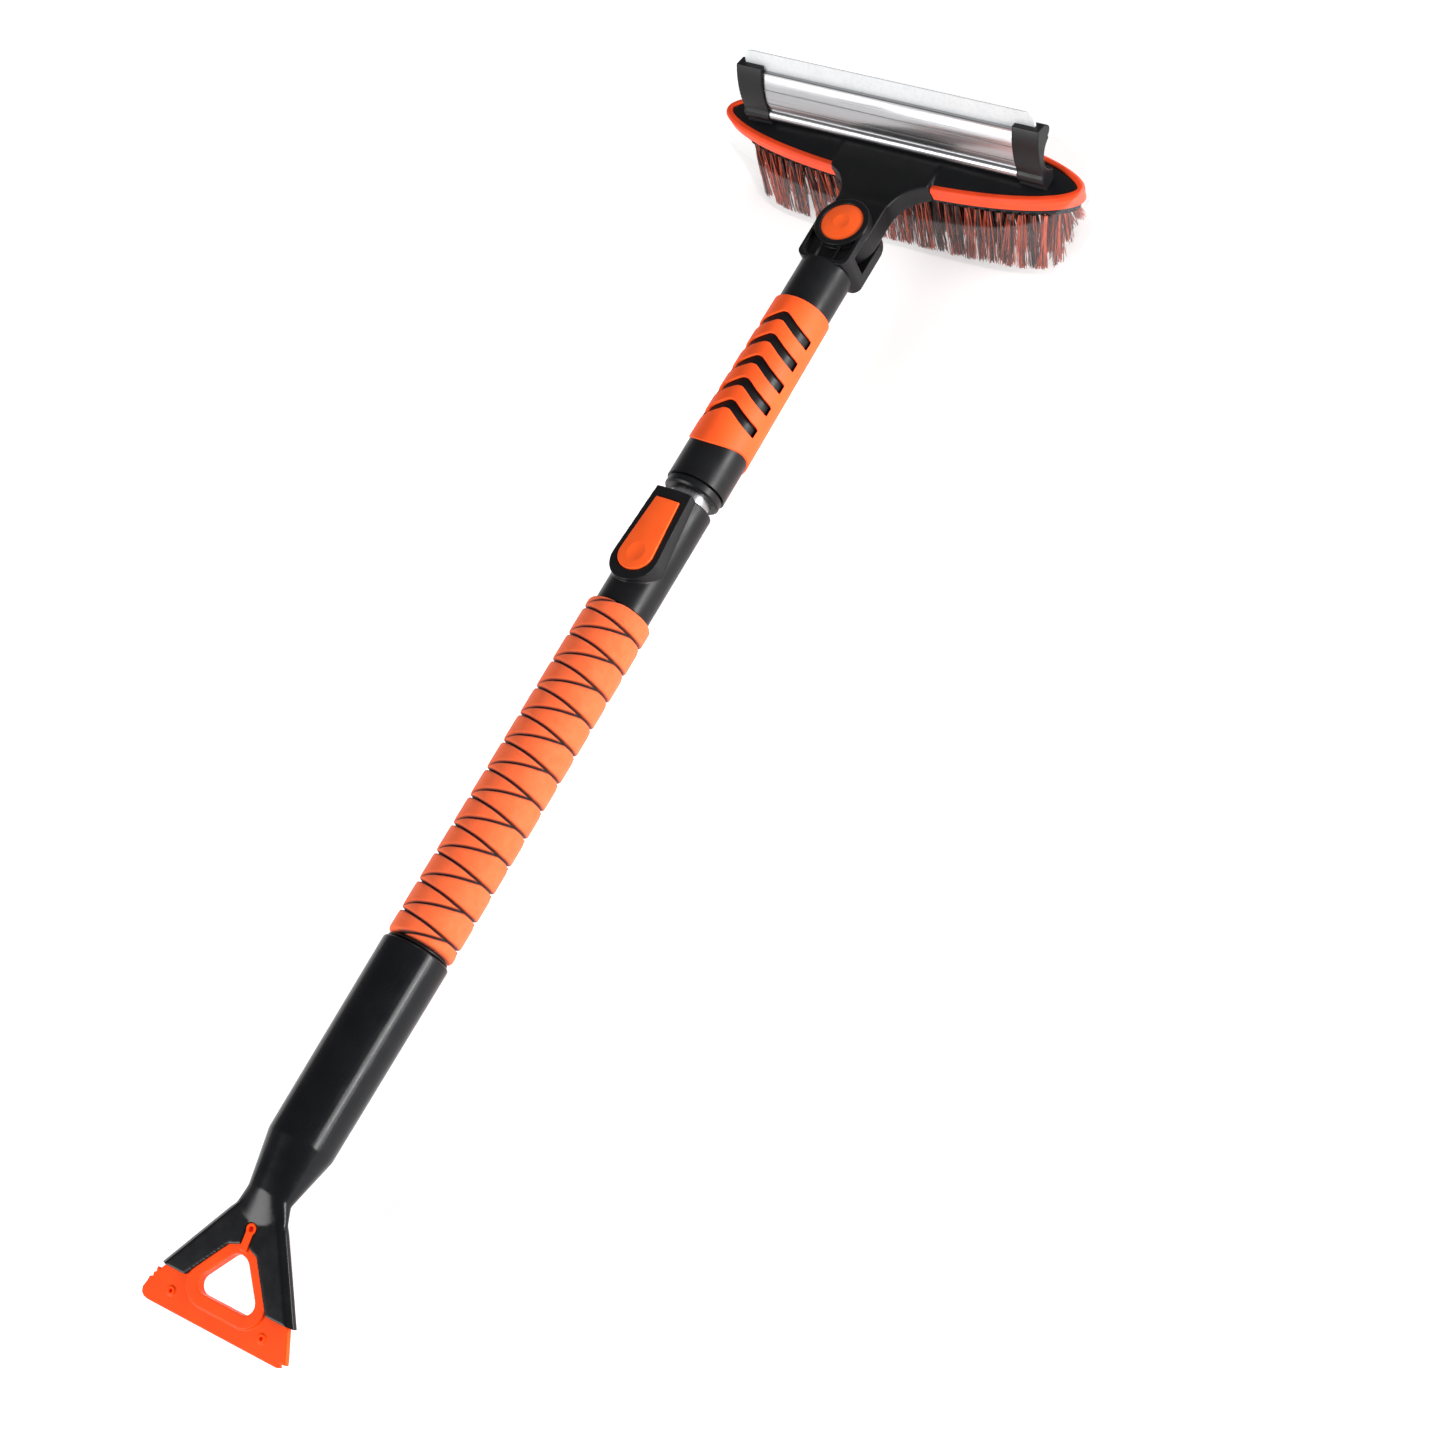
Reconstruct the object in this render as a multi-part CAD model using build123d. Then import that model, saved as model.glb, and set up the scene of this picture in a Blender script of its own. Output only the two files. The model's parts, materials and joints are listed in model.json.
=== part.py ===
"""Telescopic snow brush: swivelling brush head with squeegee, pull-apart handle and ice scraper.

+X runs along the pole towards the brush head, +Z is up and the bristles point down.
Solids are drawn about the head's pivot, on the pole's axis, and moved to the stored frame at the
end: its origin is under the middle of the whole tool, on the surface that the bristle cover stands on.
"""
import math
import os

from build123d import *

# Placing: pivot ahead of the tool's middle, and the pole's axis above the surface it stands on
PIVOT_X = 341.23
POLE_HEIGHT = 60.0

# Pole tubes and their running clearance
INNER_RADIUS = 14.0
INNER_WALL = 1.2
OUTER_RADIUS = 15.8
OUTER_BORE = 14.45
FIT = 0.05
EXTENSION = 200.0

# Stations along the pole, measured from the pivot
FORK_END = -30.8
GRIP_TOP = -64.0
GRIP_BOTTOM = -180.5
HEAD_TUBE_END = -204.5
FLANGE_END = -211.0
HOUSING_TOP = -218.0
BUTTON_TOP = -226.0
BUTTON_BOTTOM = -278.5
HOUSING_STEP = -286.0
FOAM_TOP = -300.3
FOAM_BOTTOM = -542.5
SOCKET_TOP = -545.8
SCRAPER_TAPER = -676.3
SCRAPER_NECK = -709.9

# Handle sections
HEAD_TUBE_RADIUS = 18.1
HEAD_SOCKET_RADIUS = 20.0
GRIP_RADIUS_TOP = 19.8
GRIP_RADIUS_BOTTOM = 21.0
GRIP_TONGUE_RADIUS = 35.6
FLANGE_RADIUS = 18.9
FOAM_RADIUS = 21.6
SLEEVE_RADIUS = 18.3
SCRAPER_RADIUS_TOP = 22.0
SCRAPER_RADIUS = 21.1
CONNECTOR_LENGTH = 62.0
UPPER_PLUG_RADIUS = 16.0
LOWER_PLUG_RADIUS = 18.1
RIB_LENGTH = 16.0
RIB_WIDTH = 4.5

# Chevron windows in the upper grip
CHEVRON_COUNT = 5
CHEVRON_FIRST = -76.0
CHEVRON_PITCH = 17.65
CHEVRON_BAND = 7.0
CHEVRON_DROP = 8.0
CHEVRON_HALF_WIDTH = 19.3
CHEVRON_TURN = 5.0

# Lock lever
LOCK_PIVOT_X = -250.0
LOCK_PIVOT_Z = 17.3
LOCK_PIN_X = -232.0
LOCK_TOP_Z = 21.7
PAD_TOP_Z = 20.8
PAD_CROWN = 90.0
LOCK_HOLES = 5

# Swivel joint
HUB_RADIUS = 18.6
HUB_HALF_HEIGHT = 8.2
EAR_INNER = 8.5
EAR_OUTER = 14.5
EAR_HALF_WIDTH = 18.8
EAR_RIM = 2.6
WEB_FRONT = -19.8
RING_RADIUS = 18.4
RING_TOP = 15.5
BUTTON_RADIUS = 14.3
GEAR_RADIUS = 9.9
GEAR_TEETH = 16
AXLE_RADIUS = 3.0

# Brush head: a long pointed oval lying across the pole
HEAD_X = 72.2
RIM_HALF_LENGTH = 136.5
RIM_HALF_WIDTH = 28.8
RIM_THICKNESS = 4.6
RIM_TOP = 3.5
RIM_BOTTOM = -7.0
RIM_BREAK = 37.6
CROWN_TOP = 7.2
BLOCK_BOTTOM = -14.5
BRISTLE_TIP = -56.0
COVER_FLOOR = -POLE_HEIGHT
COVER_TOP = 10.0
OVAL_POINTS = 40

# Squeegee
SQUEEGEE_X = 71.5
SQUEEGEE_Z = 8.2
SQUEEGEE_LEAN = 14.0
CHANNEL_HEIGHT = 36.6
CHANNEL_HALF_LENGTH = 111.0
CAP_INNER = 94.5
CAP_OUTER = 114.0
CAP_TOP = 40.3
BLADE_HALF_LENGTH = 109.0
BLADE_TOP = 50.0
BLADE_FOOT = 29.7
BLADE_THICKNESS = 2.2
CAP_SCREW_Y = 104.0
CAP_SCREW_RADIUS = 1.48
BEAD_CENTRE = (-2.3, 3.05)

# Ice scraper, in the blade's own plane: l runs from the neck to the edge, h across
BLADE_BEND = 16.0
EYELET_L = 20.7
EYELET_BORE = 1.65
ARM_END_L = 61.0
EDGE_L = 84.0
ARM_HALF_THICKNESS = 5.0


def rod(x_start, x_end, radius, height=0.0):
    """Solid cylinder along the pole."""
    middle = (x_start + x_end) / 2
    return Pos(middle, 0, height) * Cylinder(radius, abs(x_end - x_start), rotation=(0, 90, 0))


def tube(x_start, x_end, outer, inner):
    return rod(x_start, x_end, outer) - rod(x_start, x_end, inner)


def post(x, y, z_low, z_high, radius):
    """Solid cylinder standing up."""
    return Pos(x, y, (z_low + z_high) / 2) * Cylinder(radius, z_high - z_low)


def block(x_range, y_range, z_range):
    """Box from three pairs of limits."""
    sizes = [high - low for low, high in (x_range, y_range, z_range)]
    middle = [(high + low) / 2 for low, high in (x_range, y_range, z_range)]
    return Pos(*middle) * Box(*sizes)


def oval(half_length, half_width, z_low, z_high):
    """Upright prism on the head's oval plan."""
    return Pos(HEAD_X, 0, z_low) * extrude(Ellipse(half_width, half_length), z_high - z_low)


def squarish_oval(half_length, half_width, power):
    """Oval plan whose corners fill out as the power rises above 2."""
    points = []
    for step in range(OVAL_POINTS):
        angle = 2 * math.pi * step / OVAL_POINTS
        x, y = math.cos(angle), math.sin(angle)
        fill = (abs(x) ** power + abs(y) ** power) ** (-1 / power)
        points.append((half_width * x * fill, half_length * y * fill))
    return make_face(Spline(*points, periodic=True))


def oval_loft(*levels):
    """Oval that changes with height; each level is (half length, half width, power, z)."""
    ends = [Pos(HEAD_X, 0, z) * squarish_oval(length, width, power) for length, width, power, z in levels]
    return loft(ends, ruled=True)


def coil(radius, wire, z_low, z_high, turns):
    """Round-wire compression spring standing on z_low, with clear space at both ends."""
    height = z_high - z_low - wire
    path = Helix(pitch=height / turns, height=height, radius=radius)
    section = Plane(origin=path @ 0, z_dir=path % 0) * Circle(wire / 2)
    return Pos(0, 0, z_low + wire / 2) * sweep(section, path, is_frenet=True)


def countersunk_pair(x, seat, head_radius, head_depth, shank, reach):
    """Two cross-head screws facing each other across the pole."""
    head = post(x, 0, seat - head_depth, seat, head_radius)
    head -= block((x - 2.2, x + 2.2), (-0.5, 0.5), (seat - 1.2, seat + 1))
    head -= block((x - 0.5, x + 0.5), (-2.2, 2.2), (seat - 1.2, seat + 1))
    screw = head + post(x, 0, reach, seat - head_depth, shank)
    return [screw, mirror(screw, Plane.XY)]


def plug_connector(x_seat, direction, radius, flange_radius, flange_depth, bore, rib_reach):
    """Plastic plug on a tube's end, with a stop flange and two side ribs that key the socket."""
    tip = x_seat + direction * CONNECTOR_LENGTH
    flange = rod(x_seat - direction * flange_depth, x_seat, flange_radius)
    flange = chamfer(flange.edges().filter_by(GeomType.CIRCLE), 1.2)
    plug = flange + rod(x_seat, tip, radius)
    rib_end = x_seat + direction * RIB_LENGTH
    ribs_x = (min(x_seat, rib_end), max(x_seat, rib_end))
    half = RIB_WIDTH / 2
    plug += block(ribs_x, (-rib_reach, rib_reach), (-half, half))
    hollow = rod(x_seat - direction * (flange_depth + 1), tip + direction, bore)
    return plug - hollow


def socket_keyway(x_mouth, direction, reach):
    """Slot for the connector's ribs, cut from the mouth of a socket."""
    far = x_mouth + direction * (RIB_LENGTH + 1)
    half = RIB_WIDTH / 2 + 0.2
    return block((min(x_mouth, far) - 1, max(x_mouth, far)), (-reach, reach), (-half, half))


# ---------------------------------------------------------------- pole


def make_pole():
    screw_x = SOCKET_TOP - 17
    outer = tube(-600, -224, OUTER_RADIUS, OUTER_BORE)
    outer -= post(LOCK_PIN_X, 0, 10, 20, 3.4)
    outer -= post(screw_x, 0, -20, 20, 2.1)

    foam = tube(FOAM_BOTTOM, FOAM_TOP, FOAM_RADIUS, OUTER_RADIUS + 0.3)
    foam = fillet(foam.edges().filter_by(GeomType.CIRCLE).sort_by(SortBy.RADIUS)[-2:], 2.5)

    lower = plug_connector(SOCKET_TOP, -1, LOWER_PLUG_RADIUS, 20.0, 3.0, OUTER_RADIUS + FIT, 19.2)
    lower -= post(screw_x, 0, -30, 30, 2.1)
    lower -= post(screw_x, 0, 16.2, 20, 4.0)
    lower -= post(screw_x, 0, -20, -16.2, 4.0)
    screws = countersunk_pair(screw_x, 17.6, 3.8, 1.4, 2.0, 13.2)
    return {
        "outer_tube": outer,
        "foam_grip": foam,
        "lower_connector": lower,
        "lower_connector_screws": Compound(children=screws),
    }


def thumb_outline(margin, top, bottom):
    """Plan of the lock lever: narrow end towards the head, round wide end under the thumb."""
    narrow = 8.6 + margin
    wide = 12.0 + margin
    centre = bottom + wide
    corners = [(top, narrow), (centre, wide), (centre, -wide), (top, -narrow)]
    return make_face(Polyline(*corners, close=True)) + Pos(centre, 0) * Circle(wide)


def make_lock():
    crown = rod(HOUSING_STEP - 10, HOUSING_TOP + 10, PAD_CROWN, PAD_TOP_Z - PAD_CROWN)
    shoulder = make_face(Polyline((-17.9, 4.0), (-16.4, 21.0), (16.4, 21.0), (17.9, 4.0), close=True))
    pad = Pos(HOUSING_STEP, 0, 0) * extrude(Plane.YZ * shoulder, HOUSING_TOP - HOUSING_STEP)
    pad_plan = thumb_outline(4.6, HOUSING_TOP, HOUSING_STEP)
    pad = pad & crown & extrude(pad_plan, PAD_TOP_Z + 5)
    housing = rod(FOAM_TOP + 0.2, HOUSING_TOP, SLEEVE_RADIUS) + pad
    housing -= rod(FOAM_TOP - 1, -223.8, OUTER_RADIUS + FIT)
    housing -= rod(-224, HOUSING_TOP + 1, 16.6)
    window = thumb_outline(0.35, BUTTON_TOP + 0.35, BUTTON_BOTTOM - 0.35)
    housing -= Pos(0, 0, OUTER_RADIUS - 1) * extrude(window, 10)
    axle_hole = Pos(LOCK_PIVOT_X, 0, LOCK_PIVOT_Z) * Cylinder(1.03, 26.4, rotation=(90, 0, 0))
    housing -= axle_hole

    bush = tube(-223.6, HOUSING_TOP - 0.4, 16.55, INNER_RADIUS + FIT)

    pivot = Pos(LOCK_PIVOT_X, 0, LOCK_PIVOT_Z) * Cylinder(1.0, 26.2, rotation=(90, 0, 0))

    button = extrude(thumb_outline(0, BUTTON_TOP, BUTTON_BOTTOM), LOCK_TOP_Z)
    button &= rod(BUTTON_BOTTOM, BUTTON_TOP, PAD_CROWN, LOCK_TOP_Z - PAD_CROWN)
    button = fillet(button.edges().sort_by(Axis.Z)[-1], 0.8)
    floor_z = OUTER_RADIUS + 0.3
    button -= block((-300, -200), (-20, 20), (-1, floor_z))
    button -= block((-300, LOCK_PIVOT_X - 3), (-20, 20), (-1, floor_z + 2.0))
    button -= axle_hole
    dish = Pos(BUTTON_BOTTOM + 12.5, 0, LOCK_TOP_Z + 29.2) * Sphere(30)
    button -= dish
    button -= post(LOCK_PIN_X, 0, 10, 19.0, 2.02)
    button -= post(-268, 0, 10, 19.3, 3.6)

    pin = post(LOCK_PIN_X, 0, INNER_RADIUS + 0.1, 19.0, 2.0)
    spring = Pos(-268, 0, 0) * coil(2.7, 0.5, OUTER_RADIUS + 0.05, 19.2, 3)
    pole = {
        "lock_housing": housing,
        "tube_guide_bush": bush,
        "lock_pivot_pin": pivot,
        "lock_spring": spring,
    }
    return pole, {"lock_button": button, "lock_pin": pin}


# ---------------------------------------------------------------- sliding inner pole


def make_inner():
    screw_x = HEAD_TUBE_END + 17
    inner = tube(-530, -146, INNER_RADIUS, INNER_RADIUS - INNER_WALL)
    step = EXTENSION / (LOCK_HOLES - 1)
    for number in range(LOCK_HOLES):
        inner -= post(LOCK_PIN_X - number * step, 0, 10, 20, 3.0)
    inner -= post(screw_x, 0, -20, 20, 2.1)

    guide = rod(-536, -530, OUTER_BORE - FIT) + rod(-530, -512, INNER_RADIUS - INNER_WALL - 0.02)
    guide -= rod(-540, -500, 8.0)
    for turn in (0, 90, 180, 270):
        guide -= Rot(turn, 0, 0) * Pos(-533, 0, 14.6) * Box(8, 5, 1.6)

    flange_depth = HEAD_TUBE_END - FLANGE_END
    upper = plug_connector(HEAD_TUBE_END, 1, UPPER_PLUG_RADIUS, FLANGE_RADIUS, flange_depth,
                           INNER_RADIUS + FIT, 18.2)
    upper -= post(screw_x, 0, -30, 30, 2.1)
    upper -= post(screw_x, 0, 14.5, 20, 4.0)
    upper -= post(screw_x, 0, -20, -14.5, 4.0)
    screws = countersunk_pair(screw_x, 15.5, 3.8, 1.0, 2.0, 11.6)
    return {
        "inner_tube": inner,
        "inner_guide_plug": guide,
        "upper_connector": upper,
        "upper_connector_screws": Compound(children=screws),
    }


# ---------------------------------------------------------------- upper handle and swivel fork


def chevron_window(apex_x):
    """Bent bar through the upper half of the grip, with its apex towards the head."""
    half = CHEVRON_HALF_WIDTH
    shape = [(0, 0), (0.03, 0.1), (0.175, 0.21), (0.61, 0.51), (0.9, 0.78), (1, 1)]
    upper = [(apex_x - drop * CHEVRON_DROP, part * half) for drop, part in shape]
    lower = [(x - CHEVRON_BAND, y) for x, y in reversed(upper)]
    right = upper + lower
    side = make_face(Polyline(*right, close=True))
    return Rot(CHEVRON_TURN, 0, 0) * extrude(side + mirror(side, Plane.XZ), 30)


def ahead_of_tongue(margin):
    """Space on the head's side of the grip's lower edge, which is rounded in plan."""
    radius = GRIP_TONGUE_RADIUS
    plan = Pos(GRIP_BOTTOM + radius, 0) * (Circle(radius + margin) + Pos(75, 0) * Rectangle(150, 60))
    return Pos(0, 0, -30) * extrude(plan, 60)


def make_handle():
    screw_x = -50.0
    head_tube = rod(HEAD_TUBE_END, FORK_END - 0.1, HEAD_TUBE_RADIUS)
    head_tube += rod(HEAD_TUBE_END, -170, HEAD_SOCKET_RADIUS) - ahead_of_tongue(0.1)
    head_tube -= rod(HEAD_TUBE_END - 1, -138, UPPER_PLUG_RADIUS + FIT)
    head_tube -= rod(-139, FORK_END + 1, UPPER_PLUG_RADIUS)
    head_tube -= socket_keyway(HEAD_TUBE_END, 1, 18.5)
    head_tube -= post(screw_x, 0, -30, 0, 1.75)
    head_tube -= post(screw_x, 0, -30, -16.7, 3.6)

    length = GRIP_TOP - GRIP_BOTTOM
    grip = Cone(GRIP_RADIUS_BOTTOM, GRIP_RADIUS_TOP, length, rotation=(0, 90, 0))
    grip = Pos(GRIP_TOP - length / 2, 0, 0) * grip & ahead_of_tongue(0)
    grip -= rod(GRIP_BOTTOM - 1, GRIP_TOP + 1, HEAD_TUBE_RADIUS + 0.1)
    for number in range(CHEVRON_COUNT):
        grip -= chevron_window(CHEVRON_FIRST - number * CHEVRON_PITCH)
    return head_tube, grip, screw_x


def ear_plan(half_width, rear):
    """U-shaped plan of a fork ear: round about the pivot, straight back to rounded corners."""
    body = Pos((rear + 0) / 2, 0) * Rectangle(-rear, 2 * half_width)
    body = fillet(body.vertices().group_by(Axis.X)[0], 6.0)
    return body + Circle(half_width)


def make_fork(screw_x):
    plan = ear_plan(EAR_HALF_WIDTH, FORK_END)
    depth = EAR_OUTER - EAR_INNER
    upper_ear = Pos(0, 0, EAR_INNER) * extrude(plan, depth)
    lower_ear = Pos(0, 0, -EAR_OUTER - 2) * extrude(plan, depth + 2)
    web_plan = plan & Pos(WEB_FRONT - 20, 0) * Rectangle(40, 60)
    web = Pos(0, 0, -EAR_OUTER - 2) * extrude(web_plan, 2 * EAR_OUTER + 2)
    fork = upper_ear + lower_ear + web
    fork -= post(0, 0, -EAR_INNER, EAR_INNER, HUB_RADIUS + 0.5)
    fork += post(0, 0, EAR_INNER, RING_TOP, RING_RADIUS)

    pocket = ear_plan(EAR_HALF_WIDTH - EAR_RIM, FORK_END + EAR_RIM) - Circle(RING_RADIUS)
    pocket &= Pos(-25, 0) * Rectangle(40, 50)
    rib_drop = 1.4
    fork -= Pos(0, 0, EAR_OUTER - rib_drop) * extrude(pocket, 10)
    for side in (-1, 1):
        pocket -= Pos(-20, side * 6.8) * Rectangle(40, 1.6)
    fork -= Pos(0, 0, EAR_OUTER - 3.2) * extrude(pocket, 10)

    fork += rod(FORK_END, FORK_END - 38, UPPER_PLUG_RADIUS - 0.03)
    fork -= rod(FORK_END - 8, FORK_END - 60, 12.5)
    fork -= post(screw_x, 0, -30, 0, 1.4)

    button_floor = 11.2
    fork -= post(0, 0, button_floor, 30, BUTTON_RADIUS + 0.15)
    fork -= post(0, 0, EAR_INNER - 1, button_floor + 1, GEAR_RADIUS + 0.15)
    fork += gear_teeth_in_ear(button_floor)
    fork -= post(0, 0, -30, -8, AXLE_RADIUS + 0.02)
    fork -= post(0, 0, -30, -EAR_OUTER - 0.2, 5.6)

    head = post(screw_x, 0, -17.8, -16.8, 3.4)
    fork_screw = head + post(screw_x, 0, -16.8, -12.0, 1.38)
    return fork, fork_screw


def spline_notches(radius_outer, radius_root, width, z_low, z_high):
    """Ring of radial bars, one for each tooth of the index gear."""
    bars = []
    for number in range(GEAR_TEETH):
        bar = block((radius_root, radius_outer), (-width / 2, width / 2), (z_low, z_high))
        bars.append(Rot(0, 0, number * 360 / GEAR_TEETH) * bar)
    return bars


def gear_teeth_in_ear(z_high):
    """Teeth on the upper ear that fill the gaps of the index gear, with clearance."""
    teeth = spline_notches(GEAR_RADIUS + 1, GEAR_RADIUS - 0.9, 1.4, EAR_INNER + 0.3, z_high)
    ring = teeth[0]
    for tooth in teeth[1:]:
        ring += tooth
    return ring


def make_swivel():
    gear_low = 5.8
    gear_high = 11.2
    gear = post(0, 0, gear_low, gear_high, GEAR_RADIUS)
    for notch in spline_notches(GEAR_RADIUS + 1, GEAR_RADIUS - 1.1, 1.8, gear_low - 1, gear_high + 1):
        gear -= notch
    gear -= post(0, 0, 0, 20, AXLE_RADIUS + 0.06)
    gear -= post(0, 0, gear_high - 2, 20, 6.5)

    disc = post(0, 0, 13.9, 17.0, BUTTON_RADIUS)
    dome_radius = 70.0
    disc &= Pos(0, 0, 16.2 - dome_radius) * Sphere(dome_radius)
    disc -= Pos(0, 0, 16.0 + 38) * Sphere(38.4)
    button = disc + post(0, 0, gear_high - 2, 13.9, 6.45)
    button -= post(0, 0, 0, 13.2, AXLE_RADIUS + 0.06)

    axle = post(0, 0, -EAR_OUTER - 0.3, 10.2, AXLE_RADIUS)
    axle += post(0, 0, -EAR_OUTER - 1.9, -EAR_OUTER - 0.3, 5.4)
    axle -= block((-3.5, 3.5), (-0.6, 0.6), (-EAR_OUTER - 3, -EAR_OUTER - 1.0))
    axle -= post(0, 0, -4.9, -4.0, 5.0) - post(0, 0, -5, -3.9, 2.4)
    clip = post(0, 0, -4.85, -4.05, 5.4) - post(0, 0, -5, -3.9, 2.42)
    clip -= block((0, 8), (-1.6, 1.6), (-6, -3))
    spring = coil(7.4, 0.9, -4.95, gear_low - 0.05, 4)
    handle = {"pivot_axle": axle, "axle_retaining_clip": clip, "pivot_spring": spring}
    return handle, {"pivot_button": button, "index_gear": gear}


# ---------------------------------------------------------------- brush head


def make_head_shell():
    inner_length = RIM_HALF_LENGTH - RIM_THICKNESS
    inner_width = RIM_HALF_WIDTH - RIM_THICKNESS
    base_z = -5.0
    rise = CROWN_TOP - base_z
    spread = math.sqrt(1 - ((RIM_TOP - 0.4 - base_z) / rise) ** 2)
    crown = scale(Sphere(1), by=(inner_width / spread, inner_length / spread, rise))
    shell = oval(inner_length, inner_width, RIM_BOTTOM, CROWN_TOP + 1) & (Pos(HEAD_X, 0, base_z) * crown)

    flare = 26.0
    reach = HUB_RADIUS + flare
    neck = Pos((20 + HEAD_X) / 2, 0) * Rectangle(HEAD_X - 20, 2 * reach)
    for side in (-1, 1):
        neck -= Pos(20, side * reach) * Circle(flare)
    neck &= Pos(40, 0) * Rectangle(80, 2 * RIM_BREAK - 0.4)
    neck += Circle(HUB_RADIUS) + Pos(10.5, 0) * Rectangle(21, 2 * HUB_RADIUS)
    neck = Pos(0, 0, -HUB_HALF_HEIGHT) * extrude(neck, 2 * HUB_HALF_HEIGHT)
    beam = Pos(HEAD_X / 2, 0, CROWN_TOP + 0.6 - 900) * Cylinder(900, 300, rotation=(90, 0, 0))
    neck &= beam + block((-40, 24), (-30, 30), (-20, HUB_HALF_HEIGHT))
    neck -= oval(RIM_HALF_LENGTH + 2, RIM_HALF_WIDTH - 2, -20, RIM_BOTTOM)
    shell += neck
    shell -= post(0, 0, -5.0, 20, GEAR_RADIUS + 0.4)
    shell -= post(0, 0, -20, 20, AXLE_RADIUS + 0.06)
    return shell


def block_screw_places():
    return [(HEAD_X, y) for y in (-84, -28, 28, 84)]


def make_brush():
    shell = make_head_shell()

    rim = oval(RIM_HALF_LENGTH, RIM_HALF_WIDTH, RIM_BOTTOM, RIM_TOP)
    rim = fillet(rim.edges().group_by(Axis.Z)[-1], 2.0)
    rim -= oval(RIM_HALF_LENGTH - RIM_THICKNESS, RIM_HALF_WIDTH - RIM_THICKNESS, -20, 20)
    rim -= block((0, HEAD_X), (-RIM_BREAK, RIM_BREAK), (-20, 20))

    brush_block = oval(RIM_HALF_LENGTH - 6, RIM_HALF_WIDTH - 6, BLOCK_BOTTOM, RIM_BOTTOM)
    bristles = oval_loft((RIM_HALF_LENGTH - 17.5, 33.2, 4.0, BRISTLE_TIP),
                         (RIM_HALF_LENGTH - 16, 33.6, 4.0, BRISTLE_TIP + 8),
                         (RIM_HALF_LENGTH - 13, RIM_HALF_WIDTH - 8, 2.2, BLOCK_BOTTOM))
    screws = []
    for x, y in block_screw_places():
        screw = post(x, y, BLOCK_BOTTOM, BLOCK_BOTTOM + 2, 3.6) + post(x, y, BLOCK_BOTTOM + 2, 0, 1.8)
        screws.append(screw)
        hole = post(x, y, BLOCK_BOTTOM - 1, BLOCK_BOTTOM + 2, 3.65) + post(x, y, -20, 1, 1.82)
        brush_block -= hole
        shell -= hole
    return {
        "head_shell": shell,
        "rim_guard": rim,
        "brush_block": brush_block,
        "block_screws": Compound(children=screws),
        "bristles": bristles,
    }


def squeegee_frame(shape):
    """Stand a squeegee piece, drawn upright on its own foot, on the head."""
    return Pos(SQUEEGEE_X, 0, SQUEEGEE_Z) * Rot(0, SQUEEGEE_LEAN, 0) * shape


def across(profile, y_low, y_high):
    """Extrude a profile drawn in X and Z along the head."""
    solid = extrude(Plane.XZ * profile, -(y_high - y_low))
    return Pos(0, y_low, 0) * solid


def channel_profile():
    """Extrusion: round foot bead, web bowed towards the handle, and a grooved lip for the blade."""
    top = CHANNEL_HEIGHT
    lip_low = top - 8.1
    front = ThreePointArc((-4.3, 6.6), (-6.9, 20.0), (-3.6, top - 2.6))
    lip = Polyline((-3.6, top - 2.6), (-3.6, top), (3.6, top), (3.6, lip_low), (0.5, lip_low - 2))
    rear = ThreePointArc((0.5, lip_low - 2), (-4.3, 18.0), (-0.8, 6.0))
    web = make_face(front + lip + rear + Line((-0.8, 6.0), (-4.3, 6.6)))
    bead = Pos(*BEAD_CENTRE) * Circle(4.4)
    groove = Pos(0, top - 3) * Rectangle(2.3, 8)
    return web + bead - groove


def cap_profile():
    """End cap: bowed cheek with a hooked top at the back and a round knuckle at the foot."""
    hook_low = CAP_TOP - 11.5
    front = ThreePointArc((-5.0, CAP_TOP), (-8.3, 21.0), (-5.6, 4.0))
    rear = ThreePointArc((5.4, hook_low), (-2.8, 18.0), (1.5, 6.5))
    top = Polyline((-5.0, CAP_TOP), (3.5, CAP_TOP), (5.4, hook_low))
    foot = Polyline((1.5, 6.5), (5.2, 3.5), (5.2, 2.0), (-5.6, 2.0), (-5.6, 4.0))
    cheek = make_face(front + top + rear + foot)
    knuckle = Pos(*BEAD_CENTRE) * Circle(5.6)
    hook = Pos(4.2, CAP_TOP - 5.4) * Circle(3.8)
    foot_pad = Pos(0, 0) * Rectangle(10.4, 12)
    return cheek + knuckle + hook + foot_pad


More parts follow.
